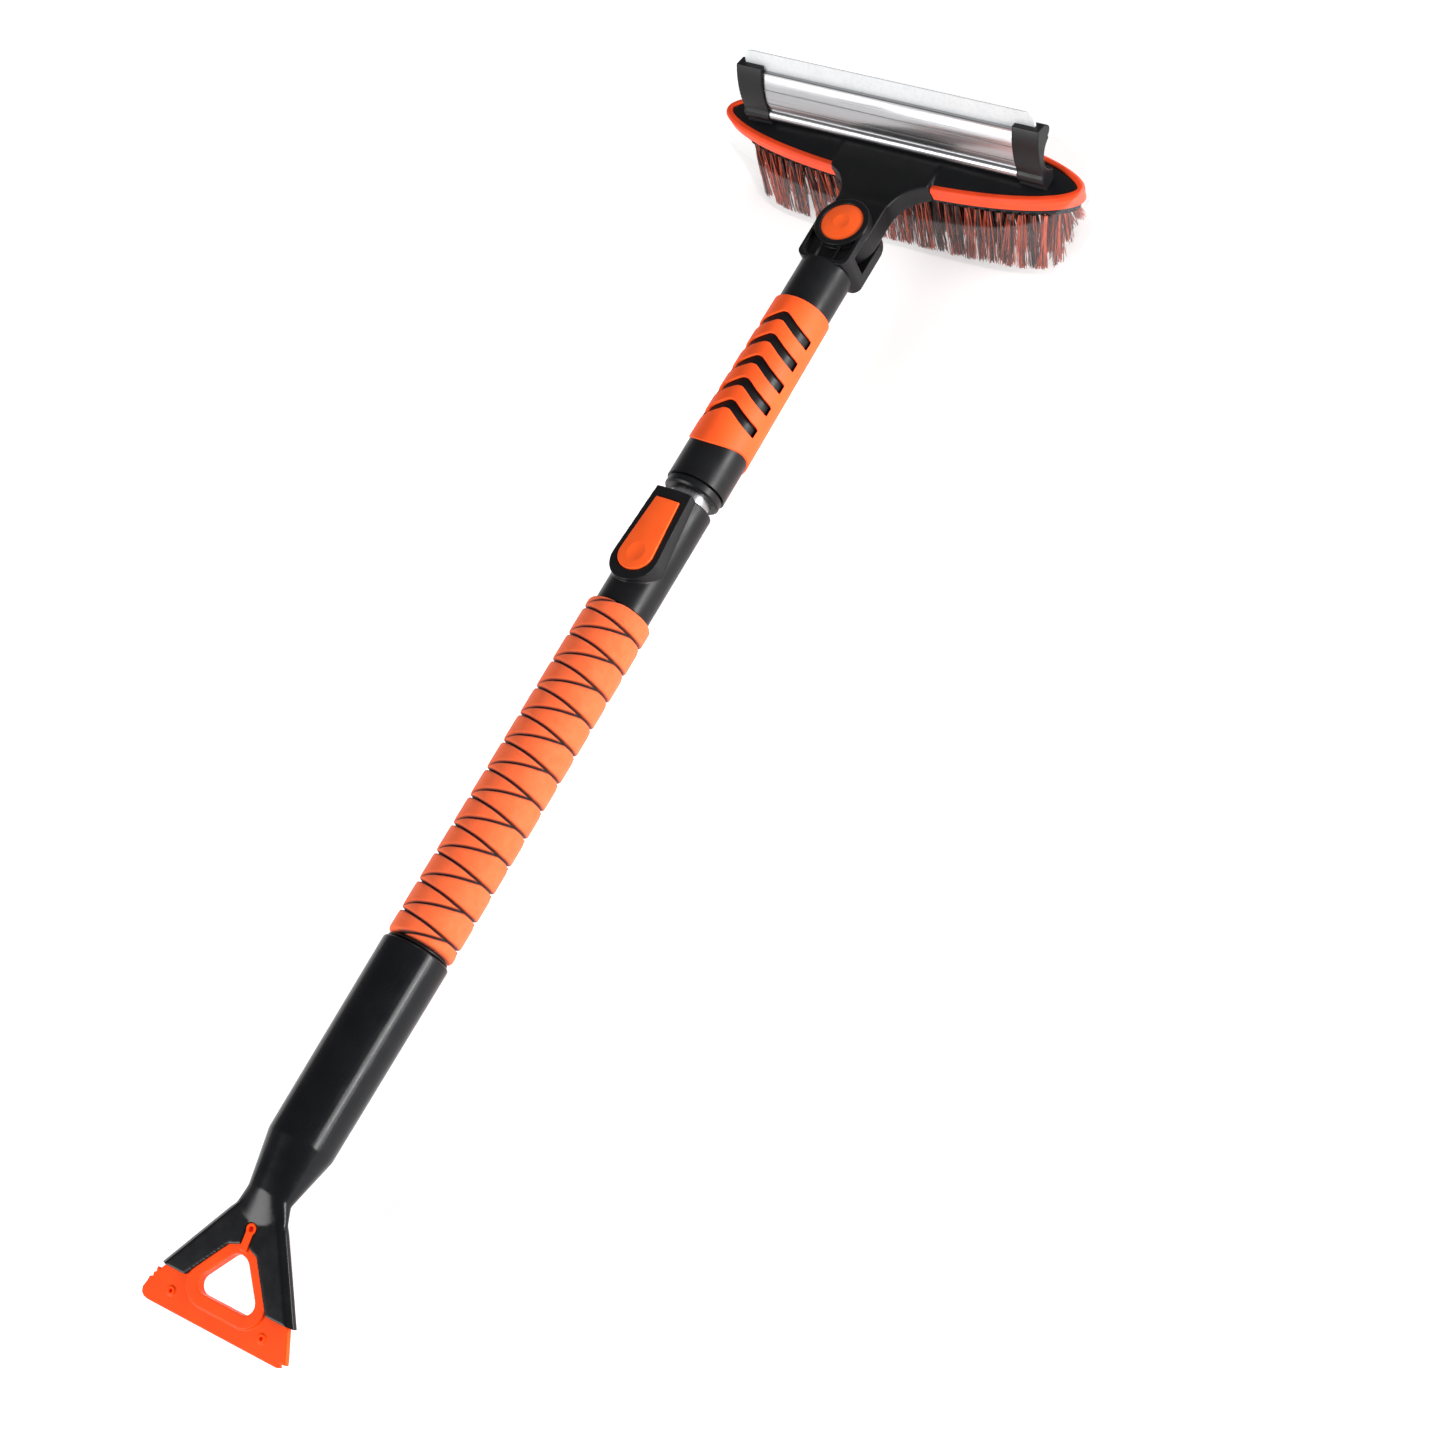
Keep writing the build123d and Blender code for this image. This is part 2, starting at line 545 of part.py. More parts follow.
def make_squeegee(shell):
    """Squeegee on the head; its end caps are screwed on from below, through the head shell."""
    channel = across(channel_profile(), -CHANNEL_HALF_LENGTH, CHANNEL_HALF_LENGTH)
    height = BLADE_TOP - BLADE_FOOT
    sheet = Pos(0, BLADE_FOOT + height / 2) * Rectangle(2 * BLADE_HALF_LENGTH, height)
    sheet = fillet(sheet.vertices().group_by(Axis.Y)[-1], 5.0)
    blade = Pos(0, BLADE_THICKNESS / 2, 0) * extrude(Plane.XZ * sheet, BLADE_THICKNESS)
    blade = Rot(0, 0, 90) * blade

    head_low = -6.8
    head_high = -5.2
    tip = 5.6
    slot_half = BLADE_HALF_LENGTH + 0.2
    pieces = {}
    screws = []
    for name, side in (("left", 1), ("right", -1)):
        ends = sorted((side * CAP_INNER, side * CAP_OUTER))
        cap = across(cap_profile(), *ends) - channel
        cap -= block((-1.3, 1.3), (-slot_half, slot_half), (BLADE_FOOT - 0.1, 70))
        y = side * CAP_SCREW_Y
        pilot = post(0, y, head_low - 1, tip, CAP_SCREW_RADIUS + 0.02)
        cap -= pilot + post(0, y, head_low - 1, head_high + 0.05, 3.1)
        pieces["squeegee_end_cap_" + name] = cap
        channel -= pilot
        head = post(0, y, head_low, head_high, 3.0)
        screws.append(head + post(0, y, head_high, tip, CAP_SCREW_RADIUS))
        access = post(0, y, -20, head_high + 0.05, 3.1)
        shell -= squeegee_frame(access + post(0, y, head_high, tip, CAP_SCREW_RADIUS + 0.05))
    pieces["squeegee_channel"] = channel
    pieces["squeegee_blade"] = blade
    pieces["squeegee_screws"] = Compound(children=screws)
    placed = {name: squeegee_frame(shape) for name, shape in pieces.items()}
    for name in ("squeegee_end_cap_left", "squeegee_end_cap_right"):
        placed[name] -= shell
    placed["head_shell"] = shell
    return placed


def make_cover():
    """Clear tray over the bristles: low beside the neck, rising over both tips and the far side."""
    wall = 0.9
    levels = [
        (RIM_HALF_LENGTH - 14.5, 35.4, 4.2, COVER_FLOOR),
        (RIM_HALF_LENGTH - 12, 36.8, 4.0, COVER_FLOOR + 8),
        (RIM_HALF_LENGTH - 9, 37.2, 3.4, -24.0),
        (RIM_HALF_LENGTH + 1.9, 37.8, 2.7, RIM_BOTTOM - 1),
        (RIM_HALF_LENGTH + 2.6, 37.8, 2.7, COVER_TOP),
    ]
    outer = oval_loft(*levels)
    floor_level = (levels[0][0] - wall, levels[0][1] - wall, levels[0][2], COVER_FLOOR + wall)
    inside = [(length - wall, width - wall, power, z) for length, width, power, z in levels[1:]]
    inside[-1] = (*inside[-1][:3], COVER_TOP + 0.1)
    inner = oval_loft(floor_level, *inside)
    cover = outer - inner
    cut = Pos(20, 0, 0) * extrude(Plane.YZ * cover_edge_plan(), 52, both=True)
    return cover - cut


def cover_edge_plan():
    """Side view of what is cut away: the edge dips under the neck and rises towards the tips."""
    half = [(0, -17.0), (40, -15.0), (80, -10.0), (105, -2.0), (122, 7.0), (150, COVER_TOP)]
    above = COVER_TOP + 30
    points = [(-y, z) for y, z in reversed(half[1:])] + half
    return make_face(Polyline((-150, above), *points, (150, above), close=True))


# ---------------------------------------------------------------- ice scraper


def blade_place(shape):
    """Move a shape from the blade's own plane to the end of the scraper's neck."""
    return Pos(SCRAPER_NECK, 0, 0) * Rot(0, -BLADE_BEND, 0) * shape


def plate(points, half_thickness):
    """Flat plate through (l, h) points, centred on the blade's plane."""
    face = make_face(Polyline(*[(-l, h) for l, h in points], close=True))
    return Pos(0, 0, -half_thickness) * extrude(face, 2 * half_thickness)


def finger_hole():
    """Rounded triangular opening in the blade."""
    face = make_face(Polyline((-30.3, 0), (-66.5, 28.0), (-66.5, -28.0), close=True))
    corners = face.vertices().sort_by(Axis.X)
    face = fillet(corners[:2], 6.4)
    return fillet(face.vertices().sort_by(Axis.X)[-1], 9.5)


def bevel_outside(arms):
    """Bevel the long outer edges of the arms on both faces."""
    bevel = 2.4
    for side in (-1, 1):
        for face in (-1, 1):
            run = Vector(-ARM_END_L, side * 51.0) - Vector(-14, side * 21.0)
            heading = math.degrees(math.atan2(run.Y, run.X))
            bar = Box(80, 2 * bevel, 2 * bevel, rotation=(45, 0, 0))
            arms -= Pos(-37.5, side * 36.0, face * ARM_HALF_THICKNESS) * Rot(0, 0, heading) * bar
    return arms


def make_scraper():
    frame = offset(finger_hole(), 7.6)
    ring = Pos(0, 0, -3.6) * extrude(frame, 7.2)
    side = [(ARM_END_L, 47.5), (65.2, 50.3), (64.4, 52.6), (67.4, 51.9), (68.2, 53.6), (70.6, 53.1),
            (71.4, 55.2), (74.5, 55.6), (78.5, 57.0), (81.5, 56.2), (83.4, 53.8), (EDGE_L, 50.5)]
    other = [(EDGE_L, -49.0), (83.2, -51.0), (81.2, -49.6), (80.6, -54.4), (78.0, -53.6),
             (ARM_END_L, -46.5)]
    root = [(50.0, -36.0), (50.0, 36.0)]
    body = plate(side + other + root, 1.9)
    edge_cut = Pos(-EDGE_L, 0, 1.9) * Rot(0, -12, 0) * block((-8, 9), (-70, 70), (0, 8))
    body -= edge_cut
    tongue = plate([(EYELET_L, 2.6), (34, 2.6), (34, -2.6), (EYELET_L, -2.6)], ARM_HALF_THICKNESS + 0.1)
    eyelet = post(-EYELET_L, 0, -5.1, 5.1, 3.5)
    blade = body + ring + tongue + eyelet
    for boss_h in (-33.0, 37.0):
        blade += post(-73.2, boss_h, -1.9, 2.7, 2.7)
        blade -= post(-73.2, boss_h, 0.2, 5, 1.1)
    blade -= Pos(0, 0, -10) * extrude(finger_hole(), 20)
    blade -= post(-EYELET_L, 0, -10, 10, EYELET_BORE)

    arm = [(-2, 8.0), (6, 13.0), (11, 18.0), (14.5, 21.3), (ARM_END_L, 51.0)]
    inner = [(ARM_END_L, 31.0), (34, 10.5), (30, 0)]
    outline = arm + inner + [(l, -h) for l, h in reversed(arm + inner[:2])]
    arms = plate(outline, ARM_HALF_THICKNESS)
    arms = bevel_outside(arms)
    neck_size = (10.3, 15.3)
    neck = loft([
        Pos(SCRAPER_TAPER, 0, 0) * Rot(0, 90, 0) * Circle(SCRAPER_RADIUS),
        Pos(SCRAPER_NECK, 0, 0) * Rot(0, 90, 0) * Ellipse(*neck_size),
    ])
    shoulder = loft([
        Pos(SCRAPER_NECK, 0, 0) * Rot(0, 90, 0) * Ellipse(*neck_size),
        blade_place(Pos(-17, 0, 0) * Rot(0, 90, 0) * Ellipse(ARM_HALF_THICKNESS, 21.0)),
    ])
    length = SOCKET_TOP - 0.1 - SCRAPER_TAPER
    barrel = Cone(SCRAPER_RADIUS, SCRAPER_RADIUS_TOP, length, rotation=(0, 90, 0))
    handle = Pos(SCRAPER_TAPER + length / 2, 0, 0) * barrel + neck + shoulder + blade_place(arms)
    handle -= rod(SCRAPER_TAPER + 6, SOCKET_TOP + 1, LOWER_PLUG_RADIUS + FIT)
    handle -= socket_keyway(SOCKET_TOP, -1, 19.5)
    handle -= blade_place(post(-EYELET_L, 0, -10, 10, EYELET_BORE + 1))
    blade = blade_place(blade)
    return {"scraper_handle": handle - blade, "scraper_blade": blade}


def main():
    nodes = make_pole()
    lock_fixed, lock_moving = make_lock()
    head_tube, grip, screw_x = make_handle()
    fork, fork_screw = make_fork(screw_x)
    swivel_fixed, swivel_moving = make_swivel()
    nodes.update(lock_fixed)
    nodes.update(lock_moving)
    nodes.update(make_inner())
    nodes["head_tube"] = head_tube
    nodes["chevron_grip"] = grip
    nodes["pivot_fork"] = fork
    nodes["fork_screw"] = fork_screw
    nodes.update(swivel_fixed)
    nodes.update(swivel_moving)
    nodes.update(make_brush())
    nodes.update(make_squeegee(nodes["head_shell"]))
    nodes["bristle_cover"] = make_cover()
    nodes.update(make_scraper())

    os.makedirs("parts", exist_ok=True)
    for name, shape in nodes.items():
        export_step(Pos(PIVOT_X, 0, POLE_HEIGHT) * shape, f"parts/{name}.step")


main()
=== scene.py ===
"""Looks of the snow brush scraper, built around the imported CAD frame.

Moulded parts are softened copies of their CAD solids. The foam grip, rim bumper, bristles, clear cover
and squeegee are modelled here. Lengths are in millimetres from the swivel's pivot unless said otherwise,
and spot() turns them into the frame's metres.
"""
import json
import math
import random

import bmesh
import bpy
import numpy as np
from mathutils import Matrix, Vector


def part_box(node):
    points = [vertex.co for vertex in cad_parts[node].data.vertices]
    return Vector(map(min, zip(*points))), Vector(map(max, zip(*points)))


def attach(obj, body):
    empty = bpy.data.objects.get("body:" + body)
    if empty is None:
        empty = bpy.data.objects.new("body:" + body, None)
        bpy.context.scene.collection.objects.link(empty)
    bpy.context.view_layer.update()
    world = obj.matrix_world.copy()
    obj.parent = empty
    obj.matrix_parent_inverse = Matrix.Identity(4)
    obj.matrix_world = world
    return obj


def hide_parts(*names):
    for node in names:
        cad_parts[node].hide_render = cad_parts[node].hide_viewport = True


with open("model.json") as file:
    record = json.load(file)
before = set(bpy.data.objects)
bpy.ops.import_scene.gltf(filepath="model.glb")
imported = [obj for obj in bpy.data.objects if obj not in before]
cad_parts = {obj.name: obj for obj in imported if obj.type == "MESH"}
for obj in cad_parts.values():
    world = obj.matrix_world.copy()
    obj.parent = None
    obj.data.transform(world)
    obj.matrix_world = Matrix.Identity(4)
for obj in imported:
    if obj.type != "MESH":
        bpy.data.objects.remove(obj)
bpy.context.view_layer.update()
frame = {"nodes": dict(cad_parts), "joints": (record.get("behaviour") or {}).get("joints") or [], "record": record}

MM = 0.001
NODES = frame["nodes"]
JOINTS = {joint["name"]: joint for joint in frame["joints"]}
PIVOT = Vector(JOINTS["head_swivel"]["pos_m"])


# ------------------------------------------------------------------ node materials


class Shade:
    """Small helper that builds one Principled material node by node."""

    def __init__(self, name):
        self.material = bpy.data.materials.new(name)
        self.material.use_nodes = True
        self.nodes = self.material.node_tree.nodes
        self.links = self.material.node_tree.links
        self.shader = self.nodes["Principled BSDF"]
        self.place = self.nodes.new("ShaderNodeTexCoord").outputs["Object"]

    def set(self, **values):
        for key, value in values.items():
            self.shader.inputs[key.replace("_", " ")].default_value = value
        return self

    def stretched(self, scale):
        mapping = self.nodes.new("ShaderNodeMapping")
        mapping.inputs["Scale"].default_value = scale
        self.links.new(self.place, mapping.inputs["Vector"])
        return mapping.outputs["Vector"]

    def noise(self, scale, detail=3.0, stretch=None, rough=0.5):
        node = self.nodes.new("ShaderNodeTexNoise")
        node.inputs["Scale"].default_value = scale
        node.inputs["Detail"].default_value = detail
        node.inputs["Roughness"].default_value = rough
        self.links.new(self.stretched(stretch) if stretch else self.place, node.inputs["Vector"])
        return node.outputs["Fac"]

    def ramp(self, value, low, high, low_at=0.3, high_at=0.7):
        node = self.nodes.new("ShaderNodeMapRange")
        node.inputs["From Min"].default_value = low_at
        node.inputs["From Max"].default_value = high_at
        node.inputs["To Min"].default_value = low
        node.inputs["To Max"].default_value = high
        self.links.new(value, node.inputs["Value"])
        return node.outputs["Result"]

    def mix(self, factor, first, second):
        node = self.nodes.new("ShaderNodeMix")
        node.data_type = "RGBA"
        for socket, value in (("A", first), ("B", second)):
            target = [s for s in node.inputs if s.name == socket and s.type == "RGBA"][0]
            if isinstance(value, tuple):
                target.default_value = (*value, 1.0)
            else:
                self.links.new(value, target)
        self.links.new(factor, node.inputs["Factor"])
        return [s for s in node.outputs if s.type == "RGBA"][0]

    def colour(self, socket):
        self.links.new(socket, self.shader.inputs["Base Color"])
        return self

    def roughness(self, socket):
        self.links.new(socket, self.shader.inputs["Roughness"])
        return self

    def bump(self, height, distance, strength=1.0):
        node = self.nodes.new("ShaderNodeBump")
        node.inputs["Strength"].default_value = strength
        node.inputs["Distance"].default_value = distance
        self.links.new(height, node.inputs["Height"])
        if self.shader.inputs["Normal"].is_linked:
            self.links.new(self.shader.inputs["Normal"].links[0].from_socket, node.inputs["Normal"])
        self.links.new(node.outputs["Normal"], self.shader.inputs["Normal"])
        return self

    def attribute(self, name):
        node = self.nodes.new("ShaderNodeAttribute")
        node.attribute_name = name
        return node.outputs["Fac"]


# Base colour, colour where worn, lowest and highest roughness, depth of the grain in metres, shine
MOULDED_LOOKS = {
    "black_plastic": ((0.006, 0.0062, 0.0072), (0.014, 0.0145, 0.016), 0.3, 0.42, 0.00002, 0.24),
    "black_gloss": ((0.0045, 0.0048, 0.006), (0.01, 0.0105, 0.012), 0.2, 0.28, 0.00001, 0.24),
    "orange_plastic": ((1.0, 0.115, 0.015), (1.0, 0.15, 0.035), 0.36, 0.46, 0.00002, 0.32),
    "orange_blade": ((1.0, 0.07, 0.0), (1.0, 0.09, 0.002), 0.34, 0.46, 0.00002, 0.15),
    "orange_rubber": ((1.0, 0.105, 0.014), (1.0, 0.13, 0.024), 0.5, 0.62, 0.00004, 0.32),
    "rim_rubber": ((0.86, 0.062, 0.01), (0.95, 0.09, 0.02), 0.45, 0.58, 0.00004, 0.32),
}
BRISTLE_COLOURS = {
    "bristle_orange": ((0.4, 0.045, 0.014), (0.76, 0.12, 0.042)),
    "bristle_dark": ((0.012, 0.006, 0.006), (0.06, 0.02, 0.016)),
}


def moulded(name, base, worn, rough_low, rough_high, grain):
    """Injection-moulded plastic: faint mottling, fine texture and long lighter scuffs."""
    shade = Shade(name)
    mottled = shade.mix(shade.ramp(shade.noise(45, 4), 0, 1), base, tuple(c * 1.25 + 0.001 for c in base))
    scuffs = shade.noise(260, 5, stretch=(0.25, 1, 1))
    shade.colour(shade.mix(shade.ramp(scuffs, 0, 0.35, 0.62, 0.72), mottled, worn))
    shade.roughness(shade.ramp(shade.noise(90, 4), rough_low, rough_high))
    shade.bump(shade.noise(2600, 2), grain, 0.6)
    return shade


def make_materials():
    """Every material by name: a CAD slot's own, or one that only a piece here uses."""
    made = {}
    for name, (base, worn, rough_low, rough_high, grain, shine) in MOULDED_LOOKS.items():
        made[name] = moulded(name, base, worn, rough_low, rough_high, grain)
        made[name].set(Specular_IOR_Level=shine)

    foam = Shade("orange_foam")
    foam_colour = foam.mix(foam.ramp(foam.noise(160, 5), 0, 1), (1.0, 0.125, 0.022), (1.0, 0.15, 0.034))
    # Painted shade: the groove attribute mixes near black into the grooves' recesses
    foam.colour(foam.mix(foam.attribute("groove"), foam_colour, (0.008, 0.002, 0.001)))
    foam.roughness(foam.ramp(foam.noise(300, 3), 0.68, 0.85))
    foam.bump(foam.noise(3400, 3, rough=0.7), 0.00012, 0.55)
    foam.set(Sheen_Weight=0.12, Sheen_Roughness=0.5)
    made["orange_foam"] = foam

    tube = Shade("black_tube")
    tube.set(Metallic=0.25)
    tube.colour(tube.mix(tube.ramp(tube.noise(60, 4), 0, 1), (0.012, 0.012, 0.014), (0.02, 0.02, 0.022)))
    tube.roughness(tube.ramp(tube.noise(900, 2, stretch=(0.02, 1, 1)), 0.28, 0.4))
    tube.bump(tube.noise(1500, 2, stretch=(0.02, 1, 1)), 0.00001, 0.5)
    made["black_tube"] = tube

    for name, stretch in (("bare_aluminium", (1, 0.01, 1)), ("drawn_aluminium", (0.01, 1, 1))):
        metal = Shade(name)
        metal.set(Metallic=1.0, Anisotropic=0.4)
        lines = metal.noise(1400, 4, stretch=stretch)
        metal.colour(metal.mix(metal.ramp(lines, 0, 1), (0.4, 0.4, 0.41), (0.47, 0.47, 0.48)))
        metal.roughness(metal.ramp(lines, 0.26, 0.36))
        metal.bump(lines, 0.000003, 0.4)
        made[name] = metal

    steel = Shade("steel")
    steel.set(Metallic=1.0)
    steel.colour(steel.mix(steel.ramp(steel.noise(500, 4), 0, 1), (0.5, 0.5, 0.52), (0.72, 0.72, 0.73)))
    steel.roughness(steel.ramp(steel.noise(1200, 3), 0.22, 0.38))
    steel.bump(steel.noise(3000, 2), 0.00001, 0.5)
    made["steel"] = steel

    for name, (dark, light) in BRISTLE_COLOURS.items():
        fibre = Shade(name)
        fibre.colour(fibre.mix(fibre.ramp(fibre.noise(420, 3, stretch=(1, 1, 0.15)), 0, 1), dark, light))
        fibre.roughness(fibre.ramp(fibre.noise(1500, 2), 0.3, 0.48))
        fibre.bump(fibre.noise(2500, 2, stretch=(1, 1, 0.1)), 0.00003, 0.5)
        made[name] = fibre

    silicone = Shade("clear_silicone")
    cloudy = silicone.ramp(silicone.noise(70, 3), 0, 1)
    silicone.colour(silicone.mix(cloudy, (0.78, 0.81, 0.82), (0.82, 0.84, 0.85)))
    silicone.roughness(silicone.ramp(silicone.noise(300, 3), 0.22, 0.36))
    silicone.bump(silicone.noise(900, 2, stretch=(1, 0.05, 1)), 0.00002, 0.4)
    silicone.set(Alpha=0.78, IOR=1.41)
    made["clear_silicone"] = silicone

    film = Shade("clear_film")
    film.colour(film.mix(film.ramp(film.noise(30, 2), 0, 1), (0.42, 0.43, 0.44), (0.5, 0.51, 0.52)))
    film.roughness(film.ramp(film.noise(50, 3), 0.06, 0.16))
    film.bump(film.noise(28, 2), 0.0006, 0.35)
    film.set(Alpha=0.06, IOR=1.5)
    made["clear_film"] = film
    return {name: shade.material for name, shade in made.items()}


MATERIALS = make_materials()


def paint_frame():
    """Give every CAD node that stays in view its node material."""
    slots = {row["node"]: row["material_slot"] for row in frame["record"]["subparts"]}
    for name, node in NODES.items():
        wanted = {"bristle_fibre": "bristle_dark"}.get(slots[name], slots[name])
        if name == "inner_tube":
            wanted = "drawn_aluminium"
        node.data.materials.clear()
        node.data.materials.append(MATERIALS[wanted])


paint_frame()


# ------------------------------------------------------------------ camera, light and floor

SENSOR_WIDTH = 36.0
LENS = 74.4
# The camera's place from the swivel's pivot, in metres, and which way its picture's right and its back face
CAMERA_OFFSET = Vector((-0.8843, -0.9698, 1.4450))
CAMERA_RIGHT = Vector((0.479, -0.820, -0.313))
CAMERA_BACK = Vector((-0.305, -0.490, 0.816))
FLOOR_HALF = 6.0


def make_camera():
    data = bpy.data.cameras.new("camera")
    data.lens = LENS
    data.sensor_width = SENSOR_WIDTH
    camera = bpy.data.objects.new("camera", data)
    bpy.context.scene.collection.objects.link(camera)
    back = CAMERA_BACK.normalized()
    right = (CAMERA_RIGHT - back * CAMERA_RIGHT.dot(back)).normalized()
    up = back.cross(right)
    turn = Matrix((right, up, back)).transposed().to_4x4()
    camera.matrix_world = Matrix.Translation(PIVOT + CAMERA_OFFSET) @ turn
    bpy.context.scene.camera = camera


def area_light(name, place, target, size, watts):
    data = bpy.data.lights.new(name, "AREA")
    data.shape = "RECTANGLE"
    data.size, data.size_y = size
    data.energy = watts
    lamp = bpy.data.objects.new(name, data)
    bpy.context.scene.collection.objects.link(lamp)
    lamp.location = place
    lamp.rotation_euler = (Vector(target) - Vector(place)).to_track_quat("-Z", "Y").to_euler()


def make_stage():
    """Pale floor, dim white world and three soft lights; places and sizes are in metres."""
    floor_mesh = bpy.data.meshes.new("floor")
    half = FLOOR_HALF
    corners = [(-half, -half, 0), (half, -half, 0), (half, half, 0), (-half, half, 0)]
    floor_mesh.from_pydata(corners, [], [(0, 1, 2, 3)])
    floor = bpy.data.objects.new("floor", floor_mesh)
    bpy.context.scene.collection.objects.link(floor)
    pale = Shade("pale_floor")
    pale.colour(pale.mix(pale.ramp(pale.noise(3, 2), 0, 1), (0.9, 0.9, 0.9), (0.93, 0.93, 0.93)))
    pale.set(Roughness=0.9, Specular_IOR_Level=0.1, Emission_Color=(1, 1, 1, 1), Emission_Strength=0.5)
    floor_mesh.materials.append(pale.material)

    world = bpy.data.worlds.new("studio")
    world.use_nodes = True
    world.node_tree.nodes["Background"].inputs["Color"].default_value = (1, 1, 1, 1)
    world.node_tree.nodes["Background"].inputs["Strength"].default_value = 0.2
    bpy.context.scene.world = world
    bpy.context.scene.view_settings.view_transform = "Standard"

    middle = (0, 0, 0.05)
    area_light("key", (-2.2, 1.0, 1.2), middle, (1.5, 1.5), 62)
    area_light("side", (0.45, -2.0, 0.42), (0.1, 0, 0.06), (1.9, 0.4), 62)
    area_light("head_end", (2.2, -0.6, 1.0), (0.3, 0, 0.0), (1.0, 1.0), 14)


make_camera()
make_stage()

# ------------------------------------------------------------------ making and finishing meshes


def spot(x, y, z):
    """Point in the row frame, from millimetres ahead of, beside and above the swivel's pivot."""
    return PIVOT + Vector((x, y, z)) * MM


def reach(node):
    """Lowest and highest corners of a CAD node in millimetres from the swivel's pivot."""
    low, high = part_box(node)
    return (low - PIVOT) / MM, (high - PIVOT) / MM


def new_piece(name, points, faces, body, slot, replaces=(), material=None, sharp=35):
    mesh = bpy.data.meshes.new(name)
    mesh.from_pydata([tuple(point) for point in points], [], faces)
    return finish_piece(name, mesh, body, slot, replaces, material, sharp)


def finish_piece(name, mesh, body, slot, replaces=(), material=None, sharp=35):
    """Link a mesh as a piece with outward faces, smooth shading, its material and body; the slot only picks the
    material when none is given.
    """
    shape = bmesh.new()
    shape.from_mesh(mesh)
    bmesh.ops.recalc_face_normals(shape, faces=shape.faces)
    shape.to_mesh(mesh)
    shape.free()
    mesh.materials.clear()
    mesh.materials.append(MATERIALS[material or slot])
    mesh.shade_smooth()
    if sharp:
        mesh.set_sharp_from_angle(angle=math.radians(sharp))
    piece = bpy.data.objects.new(name, mesh)
    bpy.context.scene.collection.objects.link(piece)
    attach(piece, body)
    if replaces:
        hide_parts(*replaces)
    return piece


def softened(node, body, slot, voxel, rounds):
    """Copy of a CAD node with every edge rounded, as moulding leaves it."""
    mesh = NODES[node].data.copy()
    shape = bmesh.new()
    shape.from_mesh(mesh)
    bmesh.ops.remove_doubles(shape, verts=shape.verts, dist=0.002 * MM)
    shape.to_mesh(mesh)
    shape.free()
    source = bpy.data.objects.new("soften", mesh)
    bpy.context.scene.collection.objects.link(source)
    remesh = source.modifiers.new("remesh", "REMESH")
    remesh.mode = "VOXEL"
    remesh.voxel_size = voxel * MM
    smooth = source.modifiers.new("smooth", "SMOOTH")
    smooth.factor = 0.5
    smooth.iterations = rounds
    evaluated = source.evaluated_get(bpy.context.evaluated_depsgraph_get())
    result = bpy.data.meshes.new_from_object(evaluated)
    bpy.data.objects.remove(source)
    return finish_piece(node + "_moulded", result, body, slot, (node,), sharp=0)


def grid_faces(rows, columns, rows_closed, columns_closed, start=0):
    """Quads of a grid of points stored row by row."""
    faces = []
    for row in range(rows if rows_closed else rows - 1):
        below = start + row * columns
        above = start + (row + 1) % rows * columns
        for column in range(columns if columns_closed else columns - 1):
            beside = (column + 1) % columns
            faces.append((below + column, below + beside, above + beside, above + column))
    return faces


def rounded(corners, radius, steps=5):
    """Closed outline with each corner replaced by a small arc-like curve."""
    outline = []
    count = len(corners)
    for index, corner in enumerate(corners):
        here = Vector(corner)
        before = Vector(corners[index - 1])
        after = Vector(corners[(index + 1) % count])
        cut = min(radius, 0.45 * (before - here).length, 0.45 * (after - here).length)
        start = here + (before - here).normalized() * cut
        end = here + (after - here).normalized() * cut
        for step in range(steps + 1):
            t = step / steps
            outline.append(start * (1 - t) ** 2 + here * 2 * t * (1 - t) + end * t ** 2)
    return outline


# ------------------------------------------------------------------ foam grip

FOAM_PITCH = 19.9
FOAM_ROWS = 440
FOAM_COLUMNS = 264
FOAM_END_ROUND = 3.0
# Gap between the foam's bore and the tube inside it
BORE_PLAY = 0.15
# Both grooves start where they cross, this many degrees before the top
CROSSING = 62
# How far towards the scraper each groove has run, at degrees round from the top towards -Y
FALLING_GROOVE = (
    (-CROSSING, 9.5), (-24, 11.6), (0, 13.1), (24, 14.4),
    (45, 15.6), (70, 16.4), (100, 16.0), (360 - CROSSING, 29.4),
)
RISING_GROOVE = (
    (-CROSSING, 9.5), (-16, 5.1), (0, 3.8), (24, 1.5),
    (48, -0.9), (70, -3.5), (100, -3.9), (360 - CROSSING, -10.4),
)
GROOVE_DEPTH = 2.1
GROOVE_HALF_WIDTH = 0.7
# Half width of the painted shade, a near-black line drawn along each groove's recess
GROOVE_SHADE_HALF_WIDTH = 0.95
PILLOW_DROP = 0.6
PILLOW_REACH = 3.0


def foam_radius(x, angle, radius):
    """Outer radius of the wound foam and its painted shade, near black along the grooves' recesses: soft pillows
    between grooves that meet and part.
    """
    degrees = (np.degrees(angle) + CROSSING) % 360 - CROSSING
    result = np.full(x.shape, radius)
    shade = np.zeros(x.shape)
    for groove in (FALLING_GROOVE, RISING_GROOVE):
        line = (-x - np.interp(degrees, *zip(*groove))) / FOAM_PITCH
        away = np.abs(line - np.round(line)) * FOAM_PITCH
        cut = 1 / (1 + (away / GROOVE_HALF_WIDTH) ** 4)
        edge = np.clip(1 - away / PILLOW_REACH, 0, 1)
        result = np.minimum(result, radius - GROOVE_DEPTH * cut - PILLOW_DROP * edge ** 2.2)
        # Painted shade: how strongly each groove's recess is coloured near black
        shade = np.maximum(shade, 1 / (1 + (away / GROOVE_SHADE_HALF_WIDTH) ** 6))
    return result, shade


